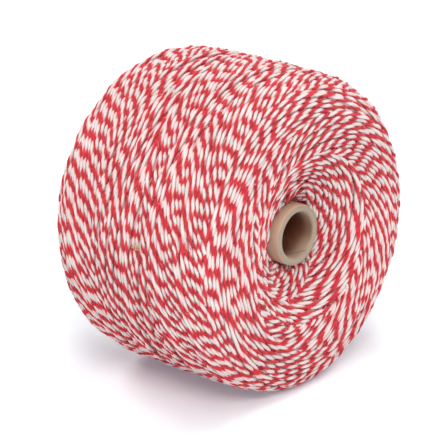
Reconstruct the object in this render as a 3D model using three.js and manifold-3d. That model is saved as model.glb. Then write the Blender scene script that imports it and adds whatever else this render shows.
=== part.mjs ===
// A spool of cotton macrame cord: a cross-wound package on a plain cardboard tube.
// Millimetres, +Z up. The tube's axis lies along X, and +X is the front face. The spool rests on its curved
// side, on a small flat spot. The origin is the bottom centre of the whole.

import * as THREE from 'three';
import { mergeVertices } from 'three/addons/utils/BufferGeometryUtils.js';
import Module from 'manifold-3d';

// Winding
const windingRadius = 57.5;
const halfWidth = 38.2; // mid-plane to the crest of either face
const crestRadius = 32; // where each face stands out furthest
const frontShoulder = { face: 7.4, side: 4.8 }; // exponents: a higher one is a squarer shoulder
const backShoulder = { face: 4.6, side: 4.8 };
const dimpleFloor = 25; // mid-plane to where the winding meets the tube
const dimpleExponent = 1.9;

// Lay of the cord: its angle to the rim is asin(layRadius / radius), about 8 degrees on the side
const layRadius = 8;
const mainBands = { starts: 4, height: 0.32 }; // broad bands of turns that run with the top layer
const crossBands = { starts: 2, height: 0.2 }; // broad bands that run with the layer below it
const bandFade = 12; // the bands die out over this length of outline at the tube

// Tube
const tubeRadius = 11;
const tubeWall = 2.75;
const tubeHalfLength = 31.3;
const seatGap = 0.3; // between the tube and the innermost turns

// Rest
const flatSpotDepth = 0.9;
const axisHeight = windingRadius - flatSpotDepth;

// Facets
const facetsAround = 60;
const facetLength = 3.3; // along the winding's outline
const outlineSamples = 600;

const boreRadius = tubeRadius + seatGap;

// Outline of one half of the winding, from the tube over the face and the shoulder to the mid-plane,
// as [distance from the mid-plane, radius]
function denseOutline(shoulder) {
  const points = [];
  for (let i = 0; i <= outlineSamples; i += 1) {
    const angle = (Math.PI / 2) * (i / outlineSamples);
    const rise = Math.sin(angle) ** (2 / dimpleExponent);
    const reach = Math.cos(angle) ** (2 / dimpleExponent);
    points.push([
      dimpleFloor + (halfWidth - dimpleFloor) * rise,
      crestRadius - (crestRadius - boreRadius) * reach,
    ]);
  }
  for (let i = 1; i <= outlineSamples; i += 1) {
    const angle = (Math.PI / 2) * (1 - i / outlineSamples);
    points.push([
      halfWidth * Math.sin(angle) ** (2 / shoulder.face),
      crestRadius + (windingRadius - crestRadius) * Math.cos(angle) ** (2 / shoulder.side),
    ]);
  }
  return points;
}

// The same outline at even steps, each with its outward normal, its length so far from the tube, and the
// angle by which a turn of cord has gone round at that place
function steppedOutline(shoulder) {
  const dense = denseOutline(shoulder);
  const lengths = [0];
  const turned = [0];
  for (let i = 1; i < dense.length; i += 1) {
    const step = Math.hypot(dense[i][0] - dense[i - 1][0], dense[i][1] - dense[i - 1][1]);
    const radius = (dense[i][1] + dense[i - 1][1]) / 2;
    const turnPerLength = Math.sqrt(radius ** 2 - layRadius ** 2) / (radius * layRadius);
    lengths.push(lengths[i - 1] + step);
    turned.push(turned[i - 1] + step * turnPerLength);
  }
  const total = lengths[lengths.length - 1];
  const totalTurn = turned[turned.length - 1];
  const count = Math.round(total / facetLength);
  const steps = [];
  let at = 1;
  for (let k = 0; k <= count; k += 1) {
    const length = (total * k) / count;
    while (at < dense.length - 1 && lengths[at] < length) at += 1;
    const part = (length - lengths[at - 1]) / (lengths[at] - lengths[at - 1]);
    const [fromX, fromR] = dense[at - 1];
    const [toX, toR] = dense[at];
    const run = Math.hypot(toX - fromX, toR - fromR);
    steps.push({
      x: fromX + (toX - fromX) * part,
      r: fromR + (toR - fromR) * part,
      normalX: (toR - fromR) / run,
      normalR: (fromX - toX) / run,
      length,
      turn: turned[at - 1] + (turned[at] - turned[at - 1]) * part - totalTurn,
    });
  }
  return steps;
}

// Closed outline of the winding, from the front end of its bore over the front, side and back and home
function windingOutline() {
  const front = steppedOutline(frontShoulder);
  const back = steppedOutline(backShoulder);
  const mirrored = back.slice(0, -1).reverse();
  const rows = front.map((row) => ({ ...row }));
  for (const row of mirrored) {
    rows.push({ ...row, x: -row.x, normalX: -row.normalX, turn: -row.turn });
  }
  return rows;
}

// Height of the broad bands at a row of the outline and an angle around the axis
function bandHeight(row, around) {
  const fade = THREE.MathUtils.smoothstep(row.length, 0, bandFade);
  const main = mainBands.height * Math.cos(mainBands.starts * (around - row.turn));
  const cross = crossBands.height * Math.cos(crossBands.starts * (around + row.turn));
  return fade * (main + cross);
}

// A LatheGeometry turns about Y with its profile's x as the radius. This lays its axis along X.
function layAlongX(geometry) {
  geometry.rotateZ(-Math.PI / 2);
  return geometry;
}

function windingForm() {
  const rows = windingOutline();
  const profile = rows.map((row) => new THREE.Vector2(row.r, row.x));
  profile.push(profile[0].clone());
  const geometry = new THREE.LatheGeometry(profile, facetsAround);
  const position = geometry.getAttribute('position');
  for (let column = 0; column <= facetsAround; column += 1) {
    const around = (2 * Math.PI * column) / facetsAround;
    for (let k = 0; k < profile.length; k += 1) {
      const row = rows[k % rows.length];
      const height = bandHeight(row, around);
      const radius = row.r + row.normalR * height;
      const index = column * profile.length + k;
      position.setXYZ(
        index,
        radius * Math.sin(around),
        row.x + row.normalX * height,
        radius * Math.cos(around),
      );
    }
  }
  return layAlongX(geometry);
}

function ringForm(innerRadius, outerRadius, halfLength) {
  const profile = [
    new THREE.Vector2(innerRadius, -halfLength),
    new THREE.Vector2(outerRadius, -halfLength),
    new THREE.Vector2(outerRadius, halfLength),
    new THREE.Vector2(innerRadius, halfLength),
    new THREE.Vector2(innerRadius, -halfLength),
  ];
  return layAlongX(new THREE.LatheGeometry(profile, facetsAround));
}

// Signed volume of a closed mesh, positive where its faces point out
function signedVolume(geometry) {
  const position = geometry.getAttribute('position');
  const index = geometry.getIndex();
  const corners = [new THREE.Vector3(), new THREE.Vector3(), new THREE.Vector3()];
  let sum = 0;
  for (let i = 0; i < index.count; i += 3) {
    corners.forEach((corner, k) => corner.fromBufferAttribute(position, index.getX(i + k)));
    sum += corners[0].dot(corners[1].clone().cross(corners[2])) / 6;
  }
  return sum;
}

// Shared vertices only, with faces that point out
function closedForm(geometry) {
  geometry.deleteAttribute('normal');
  geometry.deleteAttribute('uv');
  const merged = mergeVertices(geometry, 1e-4);
  if (signedVolume(merged) < 0) {
    const index = merged.getIndex();
    for (let i = 0; i < index.count; i += 3) {
      const second = index.getX(i + 1);
      index.setX(i + 1, index.getX(i + 2));
      index.setX(i + 2, second);
    }
  }
  return merged;
}

const wasm = await Module();
wasm.setup();

function toSolid(geometry) {
  const closed = closedForm(geometry);
  return new wasm.Manifold(
    new wasm.Mesh({
      numProp: 3,
      vertProperties: new Float32Array(closed.getAttribute('position').array),
      triVerts: new Uint32Array(closed.getIndex().array),
    }),
  );
}

function toGeometry(solid) {
  const mesh = solid.getMesh();
  const geometry = new THREE.BufferGeometry();
  geometry.setAttribute('position', new THREE.BufferAttribute(mesh.vertProperties, 3));
  geometry.setIndex(new THREE.BufferAttribute(mesh.triVerts, 1));
  geometry.computeVertexNormals();
  return geometry;
}

// The winding, raised to its resting height and cut flat where it meets the surface
function windingGeometry() {
  const form = windingForm();
  form.translate(0, 0, axisHeight);
  const size = 4 * windingRadius;
  const below = new THREE.BoxGeometry(size, size, size);
  below.translate(0, 0, -size / 2);
  return toGeometry(toSolid(form).subtract(toSolid(below)));
}

function tubeGeometry() {
  const form = ringForm(tubeRadius - tubeWall, tubeRadius, tubeHalfLength);
  form.translate(0, 0, axisHeight);
  return closedForm(form);
}

const cotton = new THREE.MeshStandardMaterial({ color: 0xdb9192, roughness: 0.9, metalness: 0 });
const cardboard = new THREE.MeshStandardMaterial({ color: 0xb79d84, roughness: 0.85, metalness: 0 });

const winding = new THREE.Mesh(windingGeometry(), cotton);
winding.name = 'winding';

const tube = new THREE.Mesh(tubeGeometry(), cardboard);
tube.name = 'tube';

const group = new THREE.Group();
group.add(winding, tube);

export default group;
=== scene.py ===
"""Dresses the spool of cotton macrame cord.

The cord is laid turn by turn, as the winding machine does it: out over the front face, across the side to
the back face and home again, each turn resting on what already lies there. Its two plies, one red and one
off-white, are lobes of the cord's section that turn with its length.
"""

import math

import bpy
import numpy as np
from bpy.props import FloatProperty, FloatVectorProperty, IntProperty, PointerProperty
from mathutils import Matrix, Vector


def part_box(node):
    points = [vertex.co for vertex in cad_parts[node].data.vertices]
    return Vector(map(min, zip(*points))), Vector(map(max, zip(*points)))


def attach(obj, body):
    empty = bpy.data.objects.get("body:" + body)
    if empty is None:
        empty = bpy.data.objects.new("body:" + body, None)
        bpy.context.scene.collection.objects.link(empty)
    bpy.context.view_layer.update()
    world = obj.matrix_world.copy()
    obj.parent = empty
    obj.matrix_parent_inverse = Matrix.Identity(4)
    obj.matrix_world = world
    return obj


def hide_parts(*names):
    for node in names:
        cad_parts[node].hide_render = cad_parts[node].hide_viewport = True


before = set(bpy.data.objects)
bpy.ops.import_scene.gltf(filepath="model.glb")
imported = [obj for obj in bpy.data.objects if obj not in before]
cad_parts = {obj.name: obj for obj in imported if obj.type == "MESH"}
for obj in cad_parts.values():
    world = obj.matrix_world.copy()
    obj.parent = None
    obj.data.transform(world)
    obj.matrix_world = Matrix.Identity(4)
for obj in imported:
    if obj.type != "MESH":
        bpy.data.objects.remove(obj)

bl_info = {
    "name": "Macrame Cord Spool",
    "version": (1, 0, 0),
    "blender": (4, 5, 0),
    "location": "View3D > Sidebar > Cord Spool",
    "description": "Builds a cross-wound spool of two-colour twisted cotton cord on a cardboard tube",
    "category": "Object",
}

MM = 0.001
TURN = 2.0 * math.pi

# From the frame
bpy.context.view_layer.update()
TUBE_LOW, TUBE_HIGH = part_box("tube")
WINDING_LOW, WINDING_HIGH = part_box("winding")
TUBE_RADIUS = (TUBE_HIGH.z - TUBE_LOW.z) / 2
TUBE_HALF_LENGTH = (TUBE_HIGH.x - TUBE_LOW.x) / 2
AXIS_HEIGHT = (TUBE_HIGH.z + TUBE_LOW.z) / 2
BAND_RELIEF = 0.5 * MM  # how far the solid's broad bands stand out of its outline
WINDING_RADIUS = (WINDING_HIGH.y - WINDING_LOW.y) / 2 - BAND_RELIEF
HALF_WIDTH = (WINDING_HIGH.x - WINDING_LOW.x) / 2 - BAND_RELIEF

# Numerical steps of the laying: the height map's along the outline, its columns round the spool, and the
# step along a pass at which its heights are evened out
LENGTH_STEP = 0.25 * MM
COLUMNS = 720
PATH_STEP = 0.5 * MM
OUTLINE_SAMPLES = 600
SEED = 11


# ---------------------------------------------------------------- sizes and colours


# Settings of one kind each, by name, description and default


def length_setting(name, description, value):
    return FloatProperty(name=name, description=description, default=value, unit="LENGTH")


def angle_setting(name, description, value):
    return FloatProperty(name=name, description=description, default=value, unit="ROTATION")


def number_setting(name, description, value):
    return FloatProperty(name=name, description=description, default=value)


def count_setting(name, description, value):
    return IntProperty(name=name, description=description, default=value)


def colour_setting(name, description, value):
    return FloatVectorProperty(
        name=name, description=description, default=value, subtype="COLOR", size=3, min=0, max=1
    )


class CordSettings(bpy.types.PropertyGroup):
    diameter: length_setting("Cord diameter", "Across the two plies", 1.94 * MM)
    ply_width: number_setting(
        "Ply width", "Half width of a ply where it is widest, as part of the cord's radius", 0.70
    )
    groove: number_setting("Groove", "How far out the plies meet, as part of the cord's radius", 0.45)
    white_share: number_setting("White share", "How far the white ply spreads over the red one", 0.10)
    twist_length: length_setting("Twist length", "Cord length of one whole twist", 7.2 * MM)
    strands: count_setting("Turns side by side", "Cycles that cover the spool once", 29)
    wraps: count_setting(
        "Wraps per cycle", "Whole turns of the spool while the cord goes to the back and home", 7
    )
    front_dwell: angle_setting("Front turn-around", "Angle spent turning round at the front", 0.5)
    back_dwell: angle_setting("Back turn-around", "Angle spent turning round at the back", 1.9)
    start_angle: angle_setting("Start angle", "Where the top layer starts", 3.3)
    pressed_width: number_setting(
        "Pressed width", "Width of a turn's bearing, as part of its diameter", 0.78
    )
    pressed_height: number_setting(
        "Pressed height", "Height of a turn that others bear on, as part of its diameter", 0.64
    )
    phase_drift: number_setting("Twist drift", "Twists by which a turn strays from its neighbour", 0.35)
    settling: number_setting("Settling", "Part of the laid unevenness that is left", 0.42)
    wander: length_setting("Wander", "How far a turn strays from its place", 0.3 * MM)
    red: colour_setting("Red", "Colour of the dyed ply", (0.66, 0.036, 0.052))
    white: colour_setting("White", "Colour of the undyed ply", (0.725, 0.645, 0.622))
    # partly the red ply showing through the white one, partly painted red light bounced off the red ply
    pink_and_bounce: colour_setting(
        "Pink", "Colour of the undyed ply where the dyed one shows through", (0.96, 0.53, 0.525)
    )
    # painted shade: the colour laid low on each turn's flanks, where it meets its neighbours
    crease_shade: colour_setting("Crease", "Colour where two turns meet", (0.16, 0.055, 0.055))
    # painted shade: the inner turns are coloured a darker red than the cord's red ply
    deep: colour_setting("Inner turns", "Colour between the turns", (0.42, 0.03, 0.04))


class PackageSettings(bpy.types.PropertyGroup):
    crest_radius: length_setting("Crest radius", "Where each face stands out furthest", 32 * MM)
    dimple_floor: length_setting("Dimple floor", "Mid-plane to where the winding meets the tube", 24 * MM)
    dimple_exponent: number_setting("Dimple shape", "Exponent of the dimple: 1 is a plain cone", 1.5)
    front_shoulder: number_setting("Front shoulder", "Exponent of the front face: higher is squarer", 7.4)
    back_shoulder: number_setting("Back shoulder", "Exponent of the back face: higher is squarer", 4.6)
    side_shoulder: number_setting("Side shoulder", "Exponent of the side: higher is squarer", 4.8)
    seat_gap: length_setting("Seat gap", "Tube to innermost turns", 0.3 * MM)
    lean: number_setting("Lean", "How far the winding leans back, per height over its axis", 0.016)


class TubeSettings(bpy.types.PropertyGroup):
    wall: length_setting("Wall", "Cardboard thickness", 2.75 * MM)
    outer_round: length_setting("Outer rounding", "Wear of the rims' outer edges", 0.95 * MM)
    inner_round: length_setting("Inner rounding", "Wear of the rims' inner edges", 1.3 * MM)
    seam_lead: length_setting("Seam lead", "Tube length of one turn of the paper's seam", 50 * MM)
    board: colour_setting("Board", "Colour of the cut and worn board", (0.37, 0.30, 0.225))
    outer_paper: colour_setting("Outer paper", "Colour of the outermost paper", (0.62, 0.45, 0.31))
    inner_paper: colour_setting("Inner paper", "Colour of the innermost paper", (0.45, 0.315, 0.22))
    # painted shade: the dark brown that stands for the shade deep in the bore, also the seam's colour
    bore_shade_and_seam: colour_setting(
        "Deep paper", "Colour of the paper deep inside the tube", (0.12, 0.034, 0.014)
    )


class FibreSettings(bpy.types.PropertyGroup):
    count: count_setting("Loose fibres", "Single fibres that stand off the turns", 1300)
    run: length_setting("Fibre length", "Mean length of a fibre", 2.4 * MM)
    rise: length_setting("Stand-off", "How far a fibre's tip stands off the turns", 0.75 * MM)
    thickness: length_setting("Fibre thickness", "Across a fibre at its root", 0.10 * MM)
    pale: colour_setting("Pale fibre", "Colour of the undyed fibres", (0.84, 0.74, 0.71))
    red: colour_setting("Red fibre", "Colour of the dyed fibres", (0.66, 0.10, 0.12))
    straw: colour_setting("Straw", "Colour of a bit of straw in the cotton", (0.70, 0.56, 0.30))


class StageSettings(bpy.types.PropertyGroup):
    azimuth: angle_setting("Azimuth", "Camera's direction", math.radians(40.8))
    elevation: angle_setting("Elevation", "Camera's height angle", math.radians(20.2))
    distance: length_setting("Distance", "Camera to the spool's middle", 0.85)
    lens: number_setting("Lens", "Focal length in millimetres", 194.6)
    aim_right: length_setting("Aim right", "Aim, to the right of the spool's middle", -3.75 * MM)
    aim_up: length_setting("Aim up", "Aim, above the spool's middle", -1.65 * MM)
    floor: colour_setting("Floor", "Colour of the floor", (0.90, 0.93, 0.94))
    floor_patches: colour_setting(
        "Floor patches", "Colour of the floor's duller patches", (0.88, 0.91, 0.92)
    )
    glow: colour_setting("Glow", "Colour of what the floor gives off by itself", (0.70, 0.80, 1.0))
    glow_strength: number_setting("Glow strength", "Strength of what the floor gives off by itself", 0.14)
    sky: number_setting("Sky light", "Strength of the light from all round", 0.06)
    front: number_setting("Front light", "Power of the light over the camera", 8.5)
    high: number_setting("High light", "Power of the light high in front", 3.8)
    top: number_setting("Top light", "Power of the light straight above", 2.4)
    left: number_setting("Left light", "Power of the low light at the left", 3.5)
    right: number_setting("Right light", "Power of the low light at the right", 2.7)
    back_left: number_setting("Back left light", "Power of the light behind, at the left", 6.2)
    back_right: number_setting("Back right light", "Power of the light behind, at the right", 6.2)


# ---------------------------------------------------------------- shader expressions


class Value:
    """A number socket in a node tree. Python's operators on it add Math nodes."""

    def __init__(self, shade, socket):
        self.shade = shade
        self.socket = socket

    def __add__(self, other):
        return self.shade.math("ADD", self, other)

    __radd__ = __add__

    def __sub__(self, other):
        return self.shade.math("SUBTRACT", self, other)

    def __rsub__(self, other):
        return self.shade.math("SUBTRACT", other, self)

    def __mul__(self, other):
        return self.shade.math("MULTIPLY", self, other)

    __rmul__ = __mul__

    def __truediv__(self, other):
        return self.shade.math("DIVIDE", self, other)

    def sin(self):
        return self.shade.math("SINE", self)

    def abs(self):
        return self.shade.math("ABSOLUTE", self)

    def fract(self):
        return self.shade.math("FRACT", self)

    def step(self, low, high):
        """0 below low, 1 above high, and smooth between them."""
        result = self.shade.node(
            "ShaderNodeMapRange",
            {"interpolation_type": "SMOOTHSTEP"},
            {"Value": self, "From Min": low, "From Max": high},
        )
        return Value(self.shade, result.outputs["Result"])


class Shade:
    """A material and its node tree."""

    def __init__(self, name):
        self.material = bpy.data.materials.new(name)
        self.material.use_nodes = True
        self.tree = self.material.node_tree
        self.tree.nodes.clear()

    def node(self, kind, settings=None, inputs=None):
        node = self.tree.nodes.new(kind)
        for key, value in (settings or {}).items():
            setattr(node, key, value)
        for key, value in (inputs or {}).items():
            self.put(node.inputs[key], value)
        return node

    def put(self, socket, value):
        if isinstance(value, Value):
            self.tree.links.new(value.socket, socket)
        elif isinstance(value, bpy.types.NodeSocket):
            self.tree.links.new(value, socket)
        elif socket.type == "RGBA":
            socket.default_value = (*value, 1.0)
        else:
            socket.default_value = value

    def math(self, operation, *values):
        node = self.node("ShaderNodeMath", {"operation": operation})
        for socket, value in zip(node.inputs, values):
            self.put(socket, value)
        return Value(self, node.outputs[0])

    def mix(self, factor, first, second):
        """The first colour where the factor is 0, and the second where it is 1."""
        # a colour mix uses these of the node's sockets
        inputs = {0: factor, 6: first, 7: second}
        return self.node("ShaderNodeMix", {"data_type": "RGBA"}, inputs).outputs[2]

    def split(self, vector):
        node = self.node("ShaderNodeSeparateXYZ", inputs={0: vector})
        return tuple(Value(self, output) for output in node.outputs)

    def join(self, x, y, z):
        return self.node("ShaderNodeCombineXYZ", inputs={0: x, 1: y, 2: z}).outputs[0]

    def place(self, centre=(0.0, 0.0, 0.0)):
        """Object coordinates from a centre."""
        coordinates = self.node("ShaderNodeTexCoord").outputs["Object"]
        settings = {"operation": "SUBTRACT"}
        return self.node("ShaderNodeVectorMath", settings, {0: coordinates, 1: centre}).outputs[0]

    def cord_map(self):
        """The two numbers of the cord's own map: along it, and round or across it."""
        along, around, _ = self.split(self.node("ShaderNodeUVMap", {"uv_map": "Cord"}).outputs[0])
        return along, around

    def noise(self, vector, scale=1.0, detail=3.0, roughness=0.5):
        node = self.node(
            "ShaderNodeTexNoise",
            {"noise_dimensions": "3D"},
            {"Vector": vector, "Scale": scale, "Detail": detail, "Roughness": roughness},
        )
        return Value(self, node.outputs["Fac"])

    def bump(self, height, distance, strength=1.0):
        inputs = {"Height": height, "Distance": distance, "Strength": strength}
        return self.node("ShaderNodeBump", inputs=inputs).outputs[0]

    def finish(self, **inputs):
        names = {key.replace("_", " "): value for key, value in inputs.items()}
        shader = self.node("ShaderNodeBsdfPrincipled", inputs=names)
        self.node("ShaderNodeOutputMaterial", inputs={"Surface": shader.outputs[0]})
        return self.material


def toned(colour, part):
    """A colour darkened to a part of itself, or brightened by a part above 1."""
    return tuple(part * channel for channel in colour)


def cotton_cord(cord):
    """Two plies, by the cord's own map: U counts twists and V goes round the red, then the white."""
    shade = Shade("cotton_cord")
    along, around = shade.cord_map()
    place = shade.place()
    # fibres that run with the plies, strays from one ply to the other, and broad patches of tone
    with_the_plies = shade.join(along * 2.5, (along + around) * 24.0, around * 4.0)
    fibres = shade.noise(with_the_plies, roughness=0.6)
    strays = shade.noise(place, scale=900.0, detail=2.0)
    tone = shade.noise(place, scale=70.0, detail=2.0).step(0.35, 0.65)
    dye_depth = shade.noise(place, scale=420.0, detail=2.0).step(0.3, 0.7)
    # 1 on the red ply's ridge, 0 in the grooves and -1 on the white ply's ridge
    ply = ((around + (strays - 0.5) * 0.06) * TURN).sin()
    is_red = (ply + (fibres - 0.5) * 0.3).step(-0.32, 0.38)
    # pink on the white ply's flanks: partly the red showing through, partly painted red light bounced off
    # the red ply
    red_through_and_bounce = (ply + (fibres - 0.5) * 0.6).step(-0.95, -0.1)
    white = shade.mix(tone, cord.white, toned(cord.white, 0.93))
    white = shade.mix(red_through_and_bounce, white, cord.pink_and_bounce)
    red = shade.mix(tone, cord.red, toned(cord.red, 0.86))
    red = shade.mix(dye_depth, red, toned(cord.red, 0.72))
    colour = shade.mix(is_red, white, red)
    # painted shade: darker low on a turn's flanks, where it meets its neighbours
    lift = Value(shade, shade.node("ShaderNodeAttribute", {"attribute_name": "Lift"}).outputs["Fac"])
    low = 1.0 - lift.step(0.12, 0.62)
    colour = shade.mix(0.36 * low, colour, cord.crease_shade)
    return shade.finish(
        Base_Color=colour, Roughness=0.86 + 0.1 * fibres,
        Normal=shade.bump(fibres + 0.5 * strays, 0.09 * MM, strength=0.7),
        Sheen_Weight=0.12, Sheen_Roughness=0.5, Specular_IOR_Level=0.2,
        Subsurface_Weight=0.3, Subsurface_Radius=(0.6, 0.4, 0.35), Subsurface_Scale=0.5 * MM,
    )


def inner_turns(cord):
    """What shows between the top turns: more cord, in shadow, coloured darker than the cord's own plies as
    painted shade. Its map is in metres.
    """
    shade = Shade("inner_turns")
    along, across = shade.cord_map()
    grain = shade.noise(shade.place(), scale=1500.0)
    pale_plies = shade.noise(shade.join(along * 260.0, across * 900.0, 0.0), detail=1.0).step(0.46, 0.54)
    # painted shade: a darkened red with patches of darkened pink
    return shade.finish(
        Base_Color=shade.mix(pale_plies, cord.deep, toned(cord.pink_and_bounce, 0.72)), Roughness=0.95,
        Normal=shade.bump(grain, 0.2 * MM), Specular_IOR_Level=0.1,
    )


def plain_fibre(name, colour):
    """Cotton of one colour, lighter and darker in places."""
    shade = Shade(name)
    tone = shade.noise(shade.place(), scale=600.0, detail=2.0)
    return shade.finish(
        Base_Color=shade.mix(tone, colour, toned(colour, 0.8)), Roughness=0.9, Sheen_Weight=0.3
    )


def cardboard(tube):
    """Spirally wound board: smooth outer paper with a seam, a worn pale rim, and inside paper with painted
    shade deep in the bore and painted light at the mouth, above and below.
    """
    shade = Shade("cardboard")
    place = shade.place((0.0, 0.0, AXIS_HEIGHT))
    x, y, z = shade.split(place)
    radius = shade.math("SQRT", y * y + z * z)
    around = shade.math("ARCTAN2", z, y) / TURN
    depth = TUBE_HALF_LENGTH - x.abs()
    # the board's fibres, its broad blotches, which also make edges ragged, the papers' streaks round the
    # tube, and the layers at its cut end
    fibres = shade.noise(place, scale=700.0, detail=4.0, roughness=0.65)
    blotch = shade.noise(place, scale=110.0)
    ragged = blotch - 0.5
    streaks = shade.noise(shade.join(x * 1400.0, around * 9.0, radius * 300.0), detail=2.0)
    layers = shade.noise(shade.join(radius * 2600.0, around * 4.0, 0.0), detail=2.0)
    # which paper is left, the outer or the inner, with ragged edges
    ragged_radius = radius + ragged * 0.8 * MM
    bore = TUBE_RADIUS - tube.wall
    outside = ragged_radius.step(TUBE_RADIUS - 0.45 * MM, TUBE_RADIUS - 0.05 * MM)
    inside = 1.0 - ragged_radius.step(bore + 0.05 * MM, bore + 0.5 * MM)
    board = shade.mix((blotch - 0.3) * 0.9, tube.board, toned(tube.board, 0.84))
    board = shade.mix(layers.step(0.45, 0.75) * 0.5, board, toned(tube.board, 0.72))
    paper = shade.mix((streaks - 0.3) * 0.9, tube.outer_paper, toned(tube.outer_paper, 0.80))
    # painted light and shade in the bore: the lining is pale at the mouth and, a little deeper, above and
    # below, and dark further in
    lit_near_mouth = 1.0 - (depth + ragged * 2.0 * MM).step(1.0 * MM, 6.0 * MM)
    lit_low_or_high = (z.abs() + ragged * 1.5 * MM).step(0.8 * MM, 7.0 * MM)
    pale = 0.42 * lit_near_mouth + 0.58 * lit_low_or_high * (1.0 - depth.step(2.2 * MM, 8.5 * MM))
    shaded_lining = shade.mix(pale, tube.bore_shade_and_seam, tube.inner_paper)
    shaded_lining = shade.mix((streaks - 0.35) * 0.5, shaded_lining, toned(tube.bore_shade_and_seam, 1.6))
    colour = shade.mix(outside, shade.mix(inside, board, shaded_lining), paper)
    # the seam of both papers, a narrow dark line that winds along the tube
    across_seam = (around - x / tube.seam_lead + 0.27).fract() - 0.5
    seam = 1.0 - across_seam.abs().step(0.003, 0.011)
    seam = seam * shade.math("MAXIMUM", inside, outside)
    colour = shade.mix(seam * 0.55, colour, tube.bore_shade_and_seam)
    height = fibres * 0.5 + layers * (1.0 - outside) * (1.0 - inside) * 0.6 - seam
    return shade.finish(
        Base_Color=colour, Roughness=0.80 + 0.12 * fibres, Normal=shade.bump(height, 0.06 * MM),
        Specular_IOR_Level=0.3,
    )


def pale_floor(stage):
    """A pale matte floor that gives off a little light, as a lit studio floor does."""
    shade = Shade("pale_floor")
    tone = shade.noise(shade.place(), scale=3.0, detail=2.0)
    return shade.finish(
        Base_Color=shade.mix(tone, stage.floor, stage.floor_patches), Roughness=0.6,
        Specular_IOR_Level=0.2, Emission_Color=stage.glow, Emission_Strength=stage.glow_strength,
    )


# ---------------------------------------------------------------- the wound package


class Package:
    """The winding's outline from the front of the tube, over the side, to the back, by length along it."""

    # the radii between which the search for the lay looks, and how often it halves them
    LAY_RADII = (3 * MM, 11 * MM)
    HALVINGS = 50
    # how many steps of length the outline's direction is evened out over
    NORMAL_EASE = 2.0

    def __init__(self, package):
        bore = TUBE_RADIUS + package.seat_gap
        front = self.half(package, bore, package.front_shoulder)
        back = self.half(package, bore, package.back_shoulder)[:-1][::-1]
        back[:, 0] *= -1
        points = np.concatenate([front, back])
        steps = np.hypot(*np.diff(points, axis=0).T)
        run = np.concatenate([[0.0], np.cumsum(steps)])
        self.lean = package.lean
        self.length = np.arange(0.0, run[-1], LENGTH_STEP)
        self.x = np.interp(self.length, run, points[:, 0])
        self.r = np.interp(self.length, run, points[:, 1])
        slope_x = np.gradient(self.x)
        slope_r = np.gradient(self.r)
        size = np.hypot(slope_x, slope_r)
        self.normal_x = smooth(slope_r / size, self.NORMAL_EASE)
        self.normal_r = smooth(-slope_x / size, self.NORMAL_EASE)

    @staticmethod
    def half(package, bore, face_exponent):
        """One half of the outline, from the tube to the mid-plane, as distances from that and radii."""
        turn = np.linspace(0.0, math.pi / 2, OUTLINE_SAMPLES)
        rise = np.sin(turn) ** (2 / package.dimple_exponent)
        reach = np.cos(turn) ** (2 / package.dimple_exponent)
        face_x = package.dimple_floor + (HALF_WIDTH - package.dimple_floor) * rise
        face_r = package.crest_radius - (package.crest_radius - bore) * reach
        turn = turn[::-1][1:]
        side_x = HALF_WIDTH * np.sin(turn) ** (2 / face_exponent)
        side_r = (WINDING_RADIUS - package.crest_radius) * np.cos(turn) ** (2 / package.side_shoulder)
        side_r += package.crest_radius
        return np.stack([np.concatenate([face_x, side_x]), np.concatenate([face_r, side_r])], axis=1)

    def turned(self, lay_radius):
        """How far round the spool a turn has gone at each length."""
        per_length = np.sqrt(self.r**2 - lay_radius**2) / (self.r * lay_radius)
        return np.concatenate([[0.0], np.cumsum((per_length[1:] + per_length[:-1]) / 2 * LENGTH_STEP)])

    def lay_radius(self, wanted_turn):
        """The radius at which the turns would run straight across, for a wanted angle from end to end."""
        low, high = self.LAY_RADII
        for _ in range(self.HALVINGS):
            middle = (low + high) / 2
            if self.turned(middle)[-1] > wanted_turn:
                low = middle
            else:
                high = middle
        return (low + high) / 2

    def point(self, length, angle, height):
        """Places in the frame, at a height above the outline."""
        x = np.interp(length, self.length, self.x) + np.interp(length, self.length, self.normal_x) * height
        r = np.interp(length, self.length, self.r) + np.interp(length, self.length, self.normal_r) * height
        up = r * np.sin(angle)
        return np.stack([x - self.lean * up, -r * np.cos(angle), AXIS_HEIGHT + up], axis=-1)

    def outward(self, length, angle):
        """The direction that points out of the outline."""
        x = np.interp(length, self.length, self.normal_x)
        r = np.interp(length, self.length, self.normal_r)
        return np.stack([x, -r * np.cos(angle), r * np.sin(angle)], axis=-1)


def smooth(values, width):
    """A Gaussian average along an array, width samples wide, with its ends held."""
    reach = int(math.ceil(3 * width))
    kernel = np.exp(-0.5 * (np.arange(-reach, reach + 1) / width) ** 2)
    padded = np.pad(values, reach, mode="edge")
    return np.convolve(padded, kernel / kernel.sum(), mode="valid")


def highest_near(values, reach):
    """The highest value within a few samples of each."""
    padded = np.pad(values, reach, mode="edge")
    return np.lib.stride_tricks.sliding_window_view(padded, 2 * reach + 1).max(axis=1)


def near_rows(heights, reach):
    """For each place of a height map, the places within a few rows of it."""
    padded = np.pad(heights, ((reach, reach), (0, 0)), mode="edge")
    return np.lib.stride_tricks.sliding_window_view(padded, 2 * reach + 1, axis=0)


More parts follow.
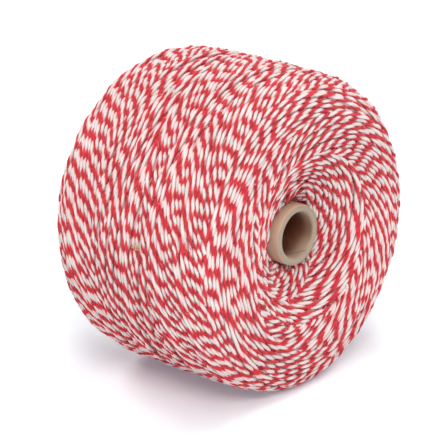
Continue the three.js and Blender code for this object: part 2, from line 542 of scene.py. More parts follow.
class Winding:
    """The top layer, laid pass by pass over a height map of the package."""

    # rows within which the tops of the turns are looked for, for the broad level and for what shows
    LEVEL_ROWS = 6
    COVER_ROWS = 2
    LEVEL_REACH = 4 * MM
    # angle over which a turn slows before it turns round: the least one, and what chance adds
    LEAST_EASE = 0.08
    FRONT_EASE = 0.34
    BACK_EASE = 0.5
    # drift of the twist from cycle to cycle: its knots along a cycle, how much of the last cycle's is kept,
    # the size of what is added, and the knots over which that is evened out
    DRIFT_KNOTS = 128
    DRIFT_KEPT = 0.72
    DRIFT_SIZE = 2.3
    DRIFT_EASE = 1.1
    # strays from a pass's place: the distance between their knots, and their parts of the cord's wander
    STRAY_STEP = 14 * MM
    LOCAL_STRAY = 0.8
    WHOLE_STRAY = 0.45
    # cord length by which a turn's twist falls behind its neighbour's: this much more than their spacing on
    # the way out, and this much less on the way home
    MORE_OUT = 2.1 * MM
    LESS_HOME = 0.95 * MM
    # a turn's bearing is felt at these many places across it, nearly from edge to edge
    PLACES_ACROSS = 17
    EDGE = 0.98
    # steps along a pass over which it bridges what lies below, and over which it is eased
    BRIDGE_STEPS = 2
    EASE_STEPS = 3.5
    # places across a turn where it may be seen, how far below the cover it may lie there, as part of the
    # cord's radius, and the rings on either side of a seen one that are kept
    PROBES = (-0.9, -0.6, -0.3, 0.0, 0.3, 0.6, 0.9)
    SEEN_DEPTH = 0.35
    SEEN_MARGIN = 3

    def __init__(self, cord, package_settings):
        self.cord = cord
        self.package = Package(package_settings)
        self.radius = cord.diameter / 2
        self.random = np.random.default_rng(SEED)
        step_back = TURN / cord.strands
        self.full_turn = (TURN * cord.wraps - step_back - cord.front_dwell - cord.back_dwell) / 2
        self.cycle_turn = 2 * self.full_turn + cord.front_dwell + cord.back_dwell
        self.turned = self.package.turned(self.package.lay_radius(self.full_turn))
        self.rows = len(self.package.length)
        self.height = np.zeros((self.rows, COLUMNS))
        self.passes = []
        self.lay_all()
        self.level = self.broad_level(self.LEVEL_REACH)
        self.cover = near_rows(self.height, self.COVER_ROWS).max(axis=-1)

    def broad_level(self, reach):
        """The laid surface without its single turns, which the turns are later let down by."""
        tops = near_rows(self.height, self.LEVEL_ROWS).max(axis=-1)
        waves = np.arange(COLUMNS // 2 + 1)
        softening = np.exp(-0.5 * (reach / self.package.r[:, None] * waves) ** 2)
        around = np.fft.irfft(np.fft.rfft(tops, axis=1) * softening, COLUMNS, axis=1)
        return np.apply_along_axis(smooth, 0, around, reach / LENGTH_STEP)

    def lowest_top(self, reach):
        """The lowest of the turns' tops near each place."""
        low = near_rows(self.cover, round(reach / LENGTH_STEP)).min(axis=-1)
        return np.minimum(low, np.minimum(np.roll(low, 2, axis=1), np.roll(low, -2, axis=1)))

    def nearest(self, length, angle):
        """The row and column of the height map at a place."""
        row = np.clip(np.rint(length / LENGTH_STEP).astype(int), 0, self.rows - 1)
        column = np.rint(angle / (TURN / COLUMNS)).astype(int) % COLUMNS
        return row, column

    def surface(self, length, angle):
        """How far the turns' tops lie above the outline."""
        place = self.nearest(length, angle)
        return self.cord.settling * (self.cover[place] - self.level[place])

    def over_level(self, length, angle, height):
        """How far a centre lies above the broad level, once the turns have settled into each other."""
        # just short of the last row, so that there is a next one everywhere
        row = np.clip(length / LENGTH_STEP, 0, self.rows - 1.001)
        column = angle * COLUMNS / TURN
        low_row = row.astype(int)
        low_column = np.floor(column).astype(int)
        level = 0.0
        for next_row in (0, 1):
            for next_column in (0, 1):
                row_weight = np.abs(1 - next_row - (row - low_row))
                weight = row_weight * np.abs(1 - next_column - (column - low_column))
                level = level + weight * self.level[low_row + next_row, (low_column + next_column) % COLUMNS]
        return self.cord.settling * (height - level)

    def ease(self, dwell, chance, most):
        """Angle over which a turn slows before the middle of its turn-around."""
        return dwell / 2 + self.LEAST_EASE + most * chance

    def cycle_path(self, number):
        """One cycle, out and home: its angles, how far across the spool each is, as the angle turned since
        the front, the index where the way home begins, and the angles at which its five stretches end."""
        cord = self.cord
        start = cord.start_angle + number * self.cycle_turn
        front = self.ease(cord.front_dwell, self.front_reach[number], self.FRONT_EASE)
        back = self.ease(cord.back_dwell, self.back_reach[number], self.BACK_EASE)
        front_next = self.ease(cord.front_dwell, self.front_reach[number + 1], self.FRONT_EASE)
        step = TURN / COLUMNS
        back_turn = cord.back_dwell + 2 * back
        front_turn = cord.front_dwell + 2 * front_next
        knots = np.cumsum([
            front,
            self.full_turn - back - front,
            back_turn,
            self.full_turn - back - front_next,
            front_turn,
        ]) + start
        first = math.ceil(knots[0] / step)
        last = math.ceil(knots[-1] / step)
        angle = np.arange(first, last) * step
        out = angle - start
        home = start + cord.back_dwell + 2 * self.full_turn - angle
        past = angle - knots[1]
        far = self.full_turn - back + past - past**2 / back_turn
        past = angle - knots[3]
        near = front_next - past + past**2 / front_turn
        turned = np.select([angle < knots[1], angle < knots[2], angle < knots[3]], [out, far, home], near)
        middle = int(np.searchsorted(angle, knots[1] + back_turn / 2))
        return angle, turned, middle, knots

    def lay_all(self):
        """Lays every cycle, as a pass out and a pass home."""
        count = self.cord.strands
        self.front_reach = self.random.random(count + 1)
        self.back_reach = self.random.random(count + 1)
        self.front_reach[-1] = self.front_reach[0]
        drift = np.zeros(self.DRIFT_KNOTS)
        added_size = self.cord.phase_drift * self.DRIFT_SIZE
        length_so_far = 0.0
        for number in range(count):
            angle, turned, middle, knots = self.cycle_path(number)
            length = np.interp(turned, self.turned, self.package.length)
            r = np.interp(length, self.package.length, self.package.r)
            run = np.concatenate([[0.0], np.cumsum(np.hypot(np.diff(length), np.diff(angle) * r[1:]))])
            length = length + self.wander(run)
            added = smooth(self.random.normal(size=self.DRIFT_KNOTS), self.DRIFT_EASE)
            drift = self.DRIFT_KEPT * drift + added_size * added
            phase = self.phase(number, angle, turned, run, knots, drift)
            for part in (slice(0, middle + 1), slice(middle, len(angle))):
                height = self.lay(angle[part], length[part], r[part])
                self.passes.append({
                    "angle": angle[part], "length": length[part], "height": height,
                    "phase": phase[part], "run": run[part] + length_so_far,
                })
            length_so_far += run[-1]

    def wander(self, run):
        """Sideways strays along a cycle."""
        knots = np.linspace(0.0, run[-1], int(run[-1] / self.STRAY_STEP))
        stray = self.random.normal(size=len(knots)) * self.cord.wander * self.LOCAL_STRAY
        offset = self.random.normal() * self.cord.wander * self.WHOLE_STRAY
        return np.interp(run, knots, stray + offset)

    def phase(self, number, angle, turned, run, knots, drift):
        """Twists so far at each point, set so that a turn's plies fall a little behind its neighbour's."""
        twist = self.cord.twist_length
        beside = WINDING_RADIUS * TURN / self.cord.strands
        out = angle < (knots[1] + knots[2]) / 2
        middle_out = np.interp(self.full_turn / 2, turned[out], run[out])
        middle_home = np.interp(-self.full_turn / 2, -turned[~out], run[~out])
        lag_out = -number * (beside + self.MORE_OUT) / twist
        lag_home = -number * (beside - self.LESS_HOME) / twist
        shift_out = (lag_out - middle_out / twist) % 1.0
        shift_home = (lag_home - middle_home / twist) % 1.0
        shift_home += round(shift_out - shift_home)
        blend = np.clip((angle - knots[1]) / (knots[2] - knots[1]), 0, 1)
        shift = shift_out + (shift_home - shift_out) * blend
        wobble = np.interp(run, np.linspace(0, run[-1], self.DRIFT_KNOTS), drift)
        return run / twist + shift + wobble

    def lay(self, angle, length, r):
        """Rests a pass on the height map, stamps it there and gives its height along it."""
        along_length = np.gradient(length)
        along_angle = r * (TURN / COLUMNS)
        size = np.hypot(along_length, along_angle)
        across_length = (along_angle / size)[:, None]
        across_angle = (-along_length / size / r)[:, None]
        offsets = np.linspace(-self.EDGE, self.EDGE, self.PLACES_ACROSS)
        arch = self.cord.pressed_height * self.radius * np.sqrt(1.0 - offsets**2)
        offsets = offsets * self.cord.pressed_width * self.radius
        length_across = length[:, None] + offsets * across_length
        place = self.nearest(length_across, angle[:, None] + offsets * across_angle)
        resting = (self.height[place] + arch).max(axis=1)
        run = np.concatenate([[0.0], np.cumsum(size[1:])])
        even = np.arange(0.0, run[-1], PATH_STEP)
        bridged = highest_near(np.interp(even, run, resting), self.BRIDGE_STEPS)
        height = np.interp(run, even, smooth(bridged, self.EASE_STEPS))
        np.maximum.at(self.height, place, height[:, None] + arch)
        return height

    def shown(self, length, angle, height):
        """Which rings of a pass show past the passes laid over them."""
        r = np.interp(length, self.package.length, self.package.r)
        seen = np.zeros(len(length), dtype=bool)
        slope = np.gradient(length) / np.hypot(np.gradient(length), r * np.gradient(angle))
        for offset in self.PROBES:
            aside = offset * self.cord.pressed_width * self.radius
            place = self.nearest(length + aside * np.sqrt(1.0 - slope**2), angle - aside * slope / r)
            top = height + self.cord.pressed_height * self.radius * math.sqrt(1.0 - offset**2)
            seen |= top > self.cover[place] - self.SEEN_DEPTH * self.radius
        return highest_near(seen.astype(float), self.SEEN_MARGIN) > 0.5


# ---------------------------------------------------------------- meshes


def add_piece(name, vertices, loops, totals, material, uv, lift=None):
    """A mesh object at the origin, from arrays, that takes the winding's place and rides on the body."""
    mesh = bpy.data.meshes.new(name)
    mesh.vertices.add(len(vertices))
    mesh.vertices.foreach_set("co", np.ascontiguousarray(vertices, dtype=np.float32).ravel())
    mesh.loops.add(len(loops))
    mesh.loops.foreach_set("vertex_index", loops.astype(np.int32))
    mesh.polygons.add(len(totals))
    starts = np.concatenate([[0], np.cumsum(totals)[:-1]])
    mesh.polygons.foreach_set("loop_start", starts.astype(np.int32))
    mesh.polygons.foreach_set("loop_total", totals.astype(np.int32))
    mesh.polygons.foreach_set("use_smooth", np.ones(len(totals), dtype=bool))
    layer = mesh.uv_layers.new(name="Cord")
    layer.data.foreach_set("uv", np.ascontiguousarray(uv, dtype=np.float32).ravel())
    if lift is not None:
        attribute = mesh.attributes.new("Lift", "FLOAT", "POINT")
        attribute.data.foreach_set("value", lift.astype(np.float32))
    mesh.update(calc_edges=True)
    mesh.validate()
    mesh.materials.append(material)
    piece = bpy.data.objects.new(name, mesh)
    bpy.context.collection.objects.link(piece)
    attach(piece, "root")
    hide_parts("winding")


def section_of_plies(cord):
    """Corner places round a cut through the two plies, as parts of the cord's radius, and their map value.

    The red ply is mapped from 0 to 0.5 and the white one from 0.5 to 1, and both seams lie in the grooves.
    """
    ply_middle = 0.42
    ply_turns = (-92, -48, 0, 48, 92)
    corner_count = 2 * (len(ply_turns) + 1)
    meeting = cord.white_share
    corners = [(meeting, -cord.groove, 0.0)]
    for side, start in ((1.0, 0.0), (-1.0, 0.5)):
        middle = ply_middle * side + 0.5 * meeting
        reach = 1.0 - abs(middle)
        for number, degrees in enumerate(ply_turns):
            turn = math.radians(degrees)
            x = middle + side * reach * math.cos(turn)
            y = side * cord.ply_width * math.sin(turn)
            corners.append((x, y, start + (number + 1) / corner_count))
        if side > 0:
            corners.append((meeting, cord.groove, 0.5))
    return np.array(corners)


# A cord's height and width on the spool, as parts of its diameter
HEIGHT_PART = 0.97
WIDTH_PART = 1.02


def tube_mesh(centres, outward, phase, radius, section):
    """Corners, loops, polygon sizes, map and lift of one closed length of cord, whose plies turn with phase.

    The lift of a corner is how far it lies on the side that faces out, from -1 to 1; the cord's material
    paints shade where it is low.
    """
    count = len(centres)
    sides = len(section)
    tangent = np.gradient(centres, axis=0)
    tangent /= np.linalg.norm(tangent, axis=1)[:, None]
    normal = outward - (outward * tangent).sum(axis=1)[:, None] * tangent
    normal /= np.linalg.norm(normal, axis=1)[:, None]
    left = np.cross(normal, tangent)
    turn = (phase * TURN)[:, None]
    x = section[None, :, 0] * np.cos(turn) - section[None, :, 1] * np.sin(turn)
    y = section[None, :, 0] * np.sin(turn) + section[None, :, 1] * np.cos(turn)
    vertices = centres[:, None, :] + radius[:, None, None] * (
        HEIGHT_PART * x[:, :, None] * normal[:, None, :] + WIDTH_PART * y[:, :, None] * left[:, None, :]
    )
    ring = np.arange(count - 1)[:, None] * sides
    side = np.arange(sides)[None, :]
    following = (side + 1) % sides
    quads = np.stack([ring + side, ring + sides + side, ring + sides + following, ring + following], axis=-1)
    last_ring = (count - 1) * sides
    loops = np.concatenate([quads.reshape(-1), np.arange(sides), last_ring + np.arange(sides)[::-1]])
    totals = np.concatenate([np.full(last_ring, 4), [sides, sides]])
    # the map: along the cord by its twists, and round it by the section's own values
    around = section[:, 2]
    along = phase - math.floor(phase[0])
    shape = (count - 1, sides)
    u_here = np.broadcast_to(along[:-1, None], shape)
    u_next = np.broadcast_to(along[1:, None], shape)
    v_here = np.broadcast_to(around[None, :], shape)
    v_next = np.broadcast_to(np.append(around[1:], 1.0)[None, :], shape)
    side_uv = np.stack([u_here, v_here, u_next, v_here, u_next, v_next, u_here, v_next], axis=-1)
    first_cap_uv = np.stack([np.full(sides, along[0]), around], -1)
    last_cap_uv = np.stack([np.full(sides, along[-1]), around[::-1]], -1)
    uv = np.concatenate([side_uv.reshape(-1, 2), first_cap_uv, last_cap_uv])
    return vertices.reshape(-1, 3), loops, totals, uv, x.reshape(-1)


class Bundle:
    """Lengths of cord gathered into one mesh."""

    def __init__(self):
        self.parts = []
        self.triangles = 0
        self.vertices = 0

    def add(self, part):
        vertices, loops, totals, uv, lift = part
        self.parts.append((vertices, loops + self.vertices, totals, uv, lift))
        self.vertices += len(vertices)
        self.triangles += int((totals - 2).sum())

    def add_piece(self, name, material):
        vertices, loops, totals, uv, lift = (np.concatenate(column) for column in zip(*self.parts))
        add_piece(name, vertices, loops, totals, material, uv, lift)


# A loose fibre: its three-sided section, its rings, how deep its root lies, how late it lifts off, how much
# thinner its tip is, and its lowest height
FIBRE_SECTION = np.array([(1.0, 0.0, 0.0), (-0.5, 0.87, 1 / 3), (-0.5, -0.87, 2 / 3)])
FIBRE_RINGS = 5
FIBRE_ROOT = 0.12 * MM
FIBRE_LIFT = 1.4
FIBRE_TAPER = 0.65
FIBRE_LOWEST = 0.02 * MM


def fibre(winding, length, angle, heading, bend, run, rise, radius):
    """One loose fibre, which leaves the turns at a place, runs over them and lifts off."""
    package = winding.package
    along = np.linspace(0.0, 1.0, FIBRE_RINGS)
    turned = heading + bend * along
    r = np.interp(length, package.length, package.r)
    start = float(winding.surface(np.array(length), np.array(angle))) - FIBRE_ROOT
    steps = FIBRE_RINGS - 1
    over = length + np.concatenate([[0.0], np.cumsum(np.cos(turned[1:]))]) * run / steps
    around = angle + np.concatenate([[0.0], np.cumsum(np.sin(turned[1:]))]) * run / steps / r
    over = np.clip(over, 0.0, package.length[-1])
    centres = package.point(over, around, start + rise * along**FIBRE_LIFT)
    outward = package.outward(over, around)
    taper = radius * (1.0 - FIBRE_TAPER * along)
    part = tube_mesh(centres, outward, np.zeros(FIBRE_RINGS), taper, FIBRE_SECTION)
    rest_on_floor(part[0], FIBRE_LOWEST)
    return part


def rest_on_floor(points, lowest):
    """Lifts the points that lie below a height up to it."""
    points[..., 2] = np.maximum(points[..., 2], lowest)
    return points


def runs_of(mask, shortest=4):
    """Where a mask holds for a few places on end: the first place of each run and the one after its last."""
    edges = np.flatnonzero(np.diff(np.concatenate([[False], mask, [False]]).astype(int)))
    return [(first, end) for first, end in zip(edges[::2], edges[1::2]) if end - first >= shortest]


# ---------------------------------------------------------------- operators


WINDINGS = {}


def laid_winding(scene):
    """The laid top layer, worked out once."""
    if "top" not in WINDINGS:
        WINDINGS["top"] = Winding(scene.spool_cord, scene.spool_package)
    return WINDINGS["top"]


class SPOOL_OT_cord_turns(bpy.types.Operator):
    """Lays the top turns of cord, as lengths of two-ply cord that rest on each other"""

    bl_idname = "spool.cord_turns"
    bl_label = "Cord turns"

    ring_step: length_setting("Ring step", "Between two rings of a cord's mesh", 0.78 * MM)
    sink: length_setting("Sink", "How far the turns are lowered", 0.55 * MM)
    full_at: count_setting("Full at", "Triangles after which the next piece is begun", 150000)

    # lowest height of a cord's middle, as part of its radius, and of its surface
    LOWEST_MIDDLE = 0.8
    LOWEST = 0.05 * MM
    # how much thicker and thinner a cord is in places, and over how many rings that changes
    UNEVENNESS = 0.035
    UNEVEN_RINGS = 3.0

    def execute(self, context):
        cord = context.scene.spool_cord
        winding = laid_winding(context.scene)
        material = cotton_cord(cord)
        section = section_of_plies(cord)
        bundle = Bundle()
        number = 1
        for laid in winding.passes:
            for part in self.lengths_of(winding, laid, section):
                bundle.add(part)
            if bundle.triangles > self.full_at:
                bundle.add_piece(f"cord_turns_{number}", material)
                bundle = Bundle()
                number += 1
        if bundle.parts:
            bundle.add_piece(f"cord_turns_{number}", material)
        return {"FINISHED"}

    def lengths_of(self, winding, laid, section):
        """The lengths of one pass that show, each as a closed mesh."""
        run = laid["run"]
        even = np.arange(run[0], run[-1], self.ring_step)
        length, angle, height, phase = (
            np.interp(even, run, laid[key]) for key in ("length", "angle", "height", "phase")
        )
        over = winding.over_level(length, angle, height)
        centres = winding.package.point(length, angle, over - self.sink)
        rest_on_floor(centres, self.LOWEST_MIDDLE * winding.radius)
        outward = winding.package.outward(length, angle)
        uneven = smooth(winding.random.normal(size=len(even)), self.UNEVEN_RINGS)
        radius = winding.radius * (1.0 + self.UNEVENNESS * uneven * self.UNEVEN_RINGS)
        for first, end in runs_of(winding.shown(length, angle, height)):
            rings = slice(first, end)
            part = tube_mesh(centres[rings], outward[rings], phase[rings], radius[rings], section)
            rest_on_floor(part[0], self.LOWEST)
            yield part


class SPOOL_OT_inner_turns(bpy.types.Operator):
    """Makes the package beneath the top turns, which shows between them"""

    bl_idname = "spool.inner_turns"
    bl_label = "Inner turns"

    depth: length_setting("Depth", "Below the outline", 1.0 * MM)

    RINGS = 120
    COLUMN_STEP = 3
    LOWEST = 0.6 * MM
    # reach of the level that this form follows, closer to the turns than their broad level
    FOLLOWED_REACH = 1.4 * MM
    # it comes up to the outline over this length at the tube, but for a tenth of its depth
    RISE_LENGTH = 6 * MM
    LEAST_RISE = 0.1
    # a turn's top lies this far over its middle, and this form stays this far below the lowest middle nearby
    TOP_OVER_MIDDLE = 0.62 * MM
    BELOW_MIDDLES = 0.75 * MM
    MIDDLES_REACH = 1 * MM
    # it is let down by this much at most, near the tube and further out, and less right at the tube
    NEAR_AND_FAR = (18 * MM, 30 * MM)
    MOST_LOWERED = (0.8 * MM, 0.25 * MM)
    HOLD_LENGTH = 1.5 * MM
    LEAST_LOWERED = 0.15
    # radius at which the map's angles are made lengths
    MAP_RADIUS = 40 * MM

    def execute(self, context):
        cord = context.scene.spool_cord
        winding = laid_winding(context.scene)
        package = winding.package
        rows = np.linspace(0, winding.rows - 1, self.RINGS).astype(int)
        columns = np.arange(0, COLUMNS, self.COLUMN_STEP)
        angles = columns * TURN / COLUMNS
        length, angle = np.meshgrid(package.length[rows], angles, indexing="ij")
        height = self.heights(winding, cord.settling, rows, columns)
        vertices = rest_on_floor(package.point(length, angle, height), self.LOWEST)
        # each ring is joined to the next one, and the last to the first, which closes the bore
        count = len(columns)
        ring = np.arange(len(rows))[:, None] * count
        following_ring = np.roll(ring, -1, axis=0)
        side = np.arange(count)[None, :]
        following = (side + 1) % count
        loops = np.stack(
            [ring + side, ring + following, following_ring + following, following_ring + side], axis=-1
        ).reshape(-1)
        # a map in metres: along the turns, and across them
        around = np.concatenate([angles, [TURN]]) * self.MAP_RADIUS
        across = package.length[rows]
        shape = (len(rows), count)
        here, there = (np.broadcast_to(places, shape) for places in (around[:-1], around[1:]))
        near, far = (np.broadcast_to(a[:, None], shape) for a in (across, np.roll(across, -1)))
        uv = np.stack([here, near, there, near, there, far, here, far], axis=-1).reshape(-1, 2)
        add_piece(
            "inner_turns", vertices.reshape(-1, 3), loops, np.full(len(loops) // 4, 4), inner_turns(cord), uv
        )
        return {"FINISHED"}

    def heights(self, winding, settling, rows, columns):
        """How far the form lies above the outline at each of its corners."""
        places = np.ix_(rows, columns)
        length = winding.package.length
        from_tube = np.minimum(length[rows], length[-1] - length[rows])[:, None]
        level = winding.level[places]
        over = winding.broad_level(self.FOLLOWED_REACH)[places] - level
        depth = self.depth * np.clip(from_tube / self.RISE_LENGTH, self.LEAST_RISE, 1.0)
        height = settling * over - depth
        # let down where the turns over it lie low, so that it never comes through them
        lowest = settling * (winding.lowest_top(self.MIDDLES_REACH)[places] - level - self.TOP_OVER_MIDDLE)
        most = np.interp(from_tube, self.NEAR_AND_FAR, self.MOST_LOWERED)
        lowered = np.clip(height - (lowest - self.BELOW_MIDDLES), 0.0, most)
        return height - lowered * np.clip(from_tube / self.HOLD_LENGTH, self.LEAST_LOWERED, 1.0)


class SPOOL_OT_loose_fibres(bpy.types.Operator):
    """Scatters short fibres that stand off the turns"""

    bl_idname = "spool.loose_fibres"
    bl_label = "Loose fibres"

    # how far chance changes a fibre's length, rise, way round the spool, bend and thickness
    RUNS = (0.5, 1.5)
    RISES = (0.1, 1.5)
    RISE_EXPONENT = 1.5
    HEADING_SPREAD = 0.6
    BEND_SPREAD = 1.3
    THICKNESSES = (0.7, 1.2)

    def execute(self, context):
        fibres = context.scene.spool_fibres
        winding = laid_winding(context.scene)
        package = winding.package
        random = np.random.default_rng(SEED + 1)
        chance = package.r / package.r.sum()
        rows = random.choice(len(chance), size=fibres.count, p=chance)
        for first, name in enumerate(("pale", "red")):
            bundle = Bundle()
            for row in rows[first::2]:
                run = fibres.run * random.uniform(*self.RUNS)
                rise = fibres.rise * random.uniform(*self.RISES) ** self.RISE_EXPONENT
                heading = random.normal(0.5 * math.pi, self.HEADING_SPREAD) + math.pi * random.integers(2)
                angle = random.uniform(0.0, TURN)
                bend = random.normal(0.0, self.BEND_SPREAD)
                radius = fibres.thickness / 2 * random.uniform(*self.THICKNESSES)
                bundle.add(fibre(winding, package.length[row], angle, heading, bend, run, rise, radius))
            bundle.add_piece(f"{name}_fibres", plain_fibre(f"{name}_fibre", getattr(fibres, name)))
        return {"FINISHED"}


class SPOOL_OT_tufts(bpy.types.Operator):
    """Makes the knots of fibre and the bit of straw that stand out on the side"""

    bl_idname = "spool.tufts"
    bl_label = "Tufts"

    # place along the outline in millimetres and round the spool in degrees, spread, number of fibres,
    # their length, rise and thickness in millimetres, and how much they bend
    TUFTS = (
        ("knot", "pale", 89.1, 63.8, 0.9, 46, 1.5, 0.6, 0.34, 2.5),
        ("fuzz", "red", 55.5, 12.8, 0.9, 26, 3.0, 1.0, 0.16, 2.2),
        ("wisp", "pale", 68.1, -50.0, 1.1, 26, 3.4, 0.9, 0.13, 1.2),
        ("straw", "straw", 78.3, 5.8, 0.5, 14, 2.0, 0.8, 0.34, 0.3),
    )
    # how far chance changes a fibre's length, rise and thickness
    RUNS = (0.6, 1.3)
    RISES = (0.2, 1.2)
    THICKNESSES = (0.7, 1.2)

    def execute(self, context):
        fibres = context.scene.spool_fibres
        winding = laid_winding(context.scene)
        random = np.random.default_rng(SEED + 2)
        for name, colour, length, angle, spread, count, run, rise, across, bend in self.TUFTS:
            bundle = Bundle()
            for _ in range(count):
                place = length * MM + random.normal(0.0, spread * MM)
                around = math.radians(angle) + random.normal(0.0, spread * MM / WINDING_RADIUS)
                bundle.add(fibre(
                    winding, place, around, random.uniform(0.0, TURN), random.normal(0.0, bend),
                    run * MM * random.uniform(*self.RUNS), rise * MM * random.uniform(*self.RISES),
                    across * MM / 2 * random.uniform(*self.THICKNESSES),
                ))
            bundle.add_piece(f"tuft_{name}", plain_fibre(f"{name}_{colour}", getattr(fibres, colour)))
        return {"FINISHED"}


class SPOOL_OT_cardboard_tube(bpy.types.Operator):
    """Makes the cardboard tube, with its cut rims softened"""

    bl_idname = "spool.cardboard_tube"
    bl_label = "Cardboard tube"

    sides: count_setting("Sides", "Facets round the tube", 128)
    rim_segments: count_setting("Rim segments", "Steps of the rims' rounding", 5)

    def execute(self, context):
        tube = context.scene.spool_tube
        bpy.ops.object.select_all(action="DESELECT")
        bpy.ops.mesh.primitive_cylinder_add(
            vertices=self.sides, radius=TUBE_RADIUS, depth=2 * TUBE_HALF_LENGTH, end_fill_type="NOTHING",
            location=(0.0, 0.0, AXIS_HEIGHT), rotation=(0.0, math.pi / 2, 0.0),
        )
        piece = context.active_object
        piece.name = "cardboard_tube"
        piece.data.name = "cardboard_tube"
        bpy.ops.object.transform_apply(location=True, rotation=True, scale=True)
        thickness = piece.modifiers.new("wall", "SOLIDIFY")
        thickness.thickness = tube.wall
        thickness.offset = -1.0
        thickness.use_even_offset = True
        bpy.ops.object.modifier_apply(modifier="wall")
        bpy.ops.object.mode_set(mode="EDIT")
        bpy.ops.mesh.select_all(action="SELECT")
        bpy.ops.mesh.normals_make_consistent(inside=False)
        rims = ((TUBE_RADIUS, tube.outer_round), (TUBE_RADIUS - tube.wall, tube.inner_round))
        for radius, rounding in rims:
            bpy.ops.mesh.select_all(action="DESELECT")
            self.select_rims(piece, radius)
            bpy.ops.mesh.bevel(offset=rounding, segments=self.rim_segments, affect="EDGES")
        bpy.ops.object.mode_set(mode="OBJECT")
        bpy.ops.object.shade_smooth_by_angle(angle=math.radians(40))
        piece.data.materials.clear()
        piece.data.materials.append(cardboard(tube))
        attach(piece, "root")
        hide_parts("tube")
        return {"FINISHED"}

    @staticmethod
    def select_rims(piece, radius):
        """Selects the sharp circles of one radius at the tube's two ends."""
        near_place = 0.01 * MM
        near_radius = 0.05 * MM
        bpy.ops.mesh.select_mode(type="EDGE")
        bpy.ops.object.mode_set(mode="OBJECT")
        vertices = piece.data.vertices
        for edge in piece.data.edges:
            first, second = (vertices[i].co for i in edge.vertices)
            at_end = abs(abs(first.x) - TUBE_HALF_LENGTH) < near_place
            around_end = at_end and abs(first.x - second.x) < near_place
            radii = [math.hypot(corner.y, corner.z - AXIS_HEIGHT) for corner in (first, second)]
            edge.select = around_end and all(abs(found - radius) < near_radius for found in radii)
        bpy.ops.object.mode_set(mode="EDIT")


def toward(azimuth, elevation):
    """The direction to a place that is seen from the spool at a compass angle and a height angle."""
    level = math.cos(elevation)
    return Vector((math.sin(azimuth) * level, -math.cos(azimuth) * level, math.sin(elevation)))


def face_back(thing, direction):
    """Turns a light or a camera so that it looks against a direction."""
    thing.rotation_mode = "QUATERNION"
    thing.rotation_quaternion = (-direction).to_track_quat("-Z", "Y")


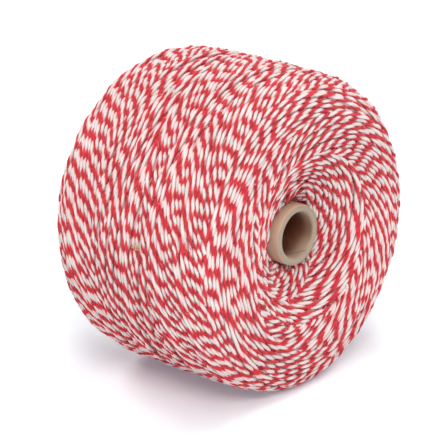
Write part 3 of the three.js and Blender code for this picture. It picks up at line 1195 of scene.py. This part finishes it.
class SPOOL_OT_stage(bpy.types.Operator):
    """Sets the pale floor, the soft light and the camera"""

    bl_idname = "spool.stage"
    bl_label = "Stage"

    # each light's setting, its size, its angle to the right of the camera, and its height angle
    LIGHTS = (
        ("front", 0.5, 6, 40),
        ("high", 0.5, 0, 65),
        ("top", 0.5, 0, 88),
        ("left", 0.5, -60, 7),
        ("right", 0.24, 45, 5),
        ("back_left", 0.5, -135, 40),
        ("back_right", 0.5, 128, 33),
    )
    LIGHT_DISTANCE = 1.2
    FLOOR_SIZE = 8.0
    SENSOR_WIDTH = 36.0

    def execute(self, context):
        stage = context.scene.spool_stage
        self.floor(context, stage)
        self.lights(context, stage)
        self.camera(context, stage)
        return {"FINISHED"}

    def floor(self, context, stage):
        bpy.ops.object.select_all(action="DESELECT")
        bpy.ops.mesh.primitive_plane_add(size=self.FLOOR_SIZE, location=(0.0, 0.0, 0.0))
        plane = context.active_object
        plane.name = "floor"
        plane.data.materials.append(pale_floor(stage))

    def lights(self, context, stage):
        scene = context.scene
        scene.view_settings.view_transform = "Standard"
        scene.view_settings.look = "None"
        world = bpy.data.worlds.new("soft_sky")
        world.use_nodes = True
        background = world.node_tree.nodes["Background"]
        background.inputs["Color"].default_value = (1.0, 1.0, 1.0, 1.0)
        background.inputs["Strength"].default_value = stage.sky
        scene.world = world
        for setting, size, right, height in self.LIGHTS:
            data = bpy.data.lights.new(f"{setting}_light", "AREA")
            data.shape = "DISK"
            data.size = size
            data.energy = getattr(stage, setting)
            light = bpy.data.objects.new(f"{setting}_light", data)
            direction = toward(stage.azimuth + math.radians(right), math.radians(height))
            light.location = Vector((0.0, 0.0, AXIS_HEIGHT)) + self.LIGHT_DISTANCE * direction
            face_back(light, direction)
            scene.collection.objects.link(light)

    def camera(self, context, stage):
        back = toward(stage.azimuth, stage.elevation)
        right = Vector((math.cos(stage.azimuth), math.sin(stage.azimuth), 0.0))
        up = right.cross(-back)
        aim = Vector((0.0, 0.0, AXIS_HEIGHT)) + right * stage.aim_right + up * stage.aim_up
        data = bpy.data.cameras.new("camera")
        data.lens = stage.lens
        data.sensor_width = self.SENSOR_WIDTH
        camera = bpy.data.objects.new("camera", data)
        camera.location = aim + back * stage.distance
        face_back(camera, back)
        context.scene.collection.objects.link(camera)
        context.scene.camera = camera


class SPOOL_PT_panel(bpy.types.Panel):
    """Lists the spool's pieces and sizes"""

    bl_idname = "SPOOL_PT_panel"
    bl_label = "Cord Spool"
    bl_space_type = "VIEW_3D"
    bl_region_type = "UI"
    bl_category = "Cord Spool"

    def draw(self, context):
        layout = self.layout
        for group in SETTINGS:
            settings = getattr(context.scene, group)
            column = layout.column()
            for name in settings.bl_rna.properties.keys():
                if name not in {"rna_type", "name"}:
                    column.prop(settings, name)
        for operator in BUILD_ORDER:
            layout.operator(operator.bl_idname)


SETTINGS = {
    "spool_cord": CordSettings,
    "spool_package": PackageSettings,
    "spool_tube": TubeSettings,
    "spool_fibres": FibreSettings,
    "spool_stage": StageSettings,
}
BUILD_ORDER = (
    SPOOL_OT_stage,
    SPOOL_OT_cord_turns,
    SPOOL_OT_inner_turns,
    SPOOL_OT_loose_fibres,
    SPOOL_OT_tufts,
    SPOOL_OT_cardboard_tube,
)
CLASSES = (*SETTINGS.values(), *BUILD_ORDER, SPOOL_PT_panel)


def register():
    for cls in CLASSES:
        bpy.utils.register_class(cls)
    for name, group in SETTINGS.items():
        setattr(bpy.types.Scene, name, PointerProperty(type=group))


def unregister():
    for name in SETTINGS:
        delattr(bpy.types.Scene, name)
    for cls in reversed(CLASSES):
        bpy.utils.unregister_class(cls)


def main():
    register()
    bpy.ops.spool.stage()
    bpy.ops.spool.cord_turns()
    bpy.ops.spool.inner_turns()
    bpy.ops.spool.loose_fibres()
    bpy.ops.spool.tufts()
    bpy.ops.spool.cardboard_tube()


if __name__ == "__main__":
    main()
